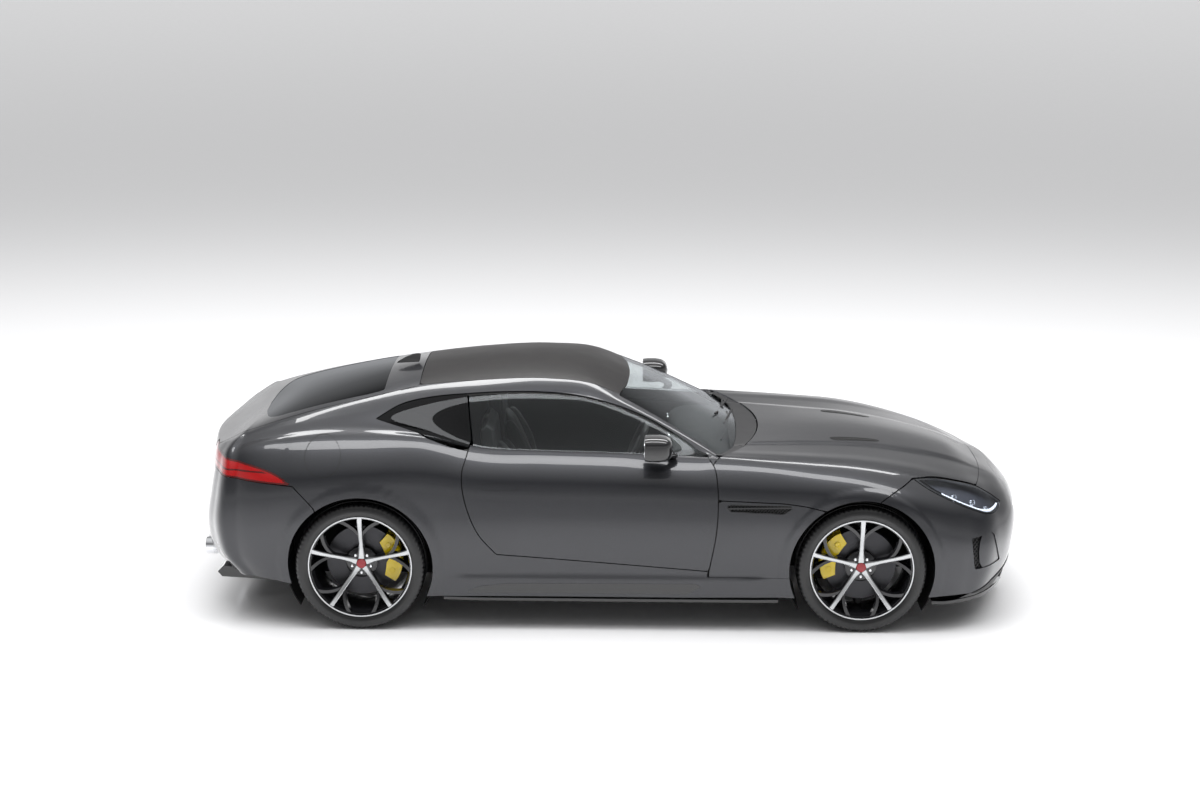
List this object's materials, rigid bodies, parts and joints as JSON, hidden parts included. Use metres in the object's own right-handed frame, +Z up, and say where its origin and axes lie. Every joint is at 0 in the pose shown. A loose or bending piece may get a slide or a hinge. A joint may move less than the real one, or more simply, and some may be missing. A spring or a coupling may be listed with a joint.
{
  "type": "coupe car",
  "caption": "Low two-seat fastback coupe with opening doors, front-hinged bonnet, rear hatch, steering front wheels and four spinning wheels.",
  "frame": {"origin": "on the ground, midway between the ends and the sides of the car", "axes": "+X forwards, +Y to the car's left, +Z up"},
  "size_m": [4.4577, 1.994, 1.2999],
  "materials": {
    "body_paint": "satin",
    "roof_panel": "polished",
    "glass": "polished",
    "lamp_glass": "polished",
    "tail_lamp": "polished",
    "black_trim": "satin",
    "gloss_black": "polished",
    "leather": "satin",
    "cabin_trim": "matte",
    "underbody": "matte",
    "castings": "satin",
    "exhaust": "polished",
    "caliper_paint": "polished",
    "tyre": "matte",
    "wheel_metal": "polished",
    "brake_iron": "satin"
  },
  "bodies": {
    "body": {"floor_pan": "underbody", "body_sides": "body_paint", "roof_panel": "roof_panel", "windshield": "glass", "quarter_windows": "glass", "front_bumper": "body_paint", "front_fenders": "body_paint", "rear_bumper": "body_paint", "lower_trim": "black_trim", "headlights": "lamp_glass", "tail_lights": "tail_lamp", "grilles": "black_trim", "seats": "leather", "dashboard": "cabin_trim", "front_subframe": "underbody", "rear_subframe": "underbody", "engine_block": "castings", "exhaust": "exhaust", "rear_calipers": "caliper_paint"},
    "left_door": {"door_left": "body_paint", "door_glass_left": "glass", "mirror_left": "gloss_black"},
    "right_door": {"door_right": "body_paint", "door_glass_right": "glass", "mirror_right": "gloss_black"},
    "bonnet": {"bonnet": "body_paint"},
    "hatch": {"hatch": "body_paint", "rear_glass": "glass"},
    "steering_wheel": {"steering_wheel": "cabin_trim"},
    "left_knuckle": {"knuckle_left": "castings", "front_caliper_left": "caliper_paint"},
    "right_knuckle": {"knuckle_right": "castings", "front_caliper_right": "caliper_paint"},
    "front_left_wheel": {"front_left_tyre": "tyre", "front_left_wheel": "wheel_metal", "front_left_disc": "brake_iron"},
    "front_right_wheel": {"front_right_tyre": "tyre", "front_right_wheel": "wheel_metal", "front_right_disc": "brake_iron"},
    "rear_left_wheel": {"rear_left_tyre": "tyre", "rear_left_wheel": "wheel_metal", "rear_left_disc": "brake_iron"},
    "rear_right_wheel": {"rear_right_tyre": "tyre", "rear_right_wheel": "wheel_metal", "rear_right_disc": "brake_iron"}
  },
  "joints": [
    {"name": "steer_left", "type": "hinge", "parent": "body", "child": "left_knuckle", "pos_m": [1.311, 0.748, 0.343], "axis": [0, 0, 1], "range_deg": [-33, 33]},
    {"name": "steer_right", "type": "hinge", "parent": "body", "child": "right_knuckle", "pos_m": [1.311, -0.748, 0.343], "axis": [0, 0, 1], "range_deg": [-33, 33]},
    {"name": "steering_wheel_turn", "type": "hinge", "parent": "body", "child": "steering_wheel", "pos_m": [0.128, -0.37, 0.868], "axis": [-0.9135, 0, 0.4067], "range_deg": [-450, 450]},
    {"name": "door_left_swing", "type": "hinge", "parent": "body", "child": "left_door", "pos_m": [0.528, 0.925, 0.6], "axis": [0, 0, -1], "range_deg": [0, 65]},
    {"name": "door_right_swing", "type": "hinge", "parent": "body", "child": "right_door", "pos_m": [0.528, -0.925, 0.6], "axis": [0, 0, 1], "range_deg": [0, 65]},
    {"name": "bonnet_lift", "type": "hinge", "parent": "body", "child": "bonnet", "pos_m": [2.12, 0, 0.716], "axis": [0, 1, 0], "range_deg": [0, 48]},
    {"name": "hatch_lift", "type": "hinge", "parent": "body", "child": "hatch", "pos_m": [-1.004, 0, 1.256], "axis": [0, 1, 0], "range_deg": [0, 65]},
    {"name": "front_left_wheel_spin", "type": "hinge", "parent": "left_knuckle", "child": "front_left_wheel", "pos_m": [1.311, 0.798, 0.343], "axis": [0, 1, 0], "continuous": true},
    {"name": "front_right_wheel_spin", "type": "hinge", "parent": "right_knuckle", "child": "front_right_wheel", "pos_m": [1.311, -0.798, 0.343], "axis": [0, 1, 0], "continuous": true},
    {"name": "rear_left_wheel_spin", "type": "hinge", "parent": "body", "child": "rear_left_wheel", "pos_m": [-1.311, 0.806, 0.343], "axis": [0, 1, 0], "continuous": true},
    {"name": "rear_right_wheel_spin", "type": "hinge", "parent": "body", "child": "rear_right_wheel", "pos_m": [-1.311, -0.806, 0.343], "axis": [0, 1, 0], "continuous": true}
  ],
  "couplings": [
    {"joint": "steer_right", "follows": "steer_left", "ratio": 1},
    {"joint": "steering_wheel_turn", "follows": "steer_left", "ratio": 13.5}
  ]
}
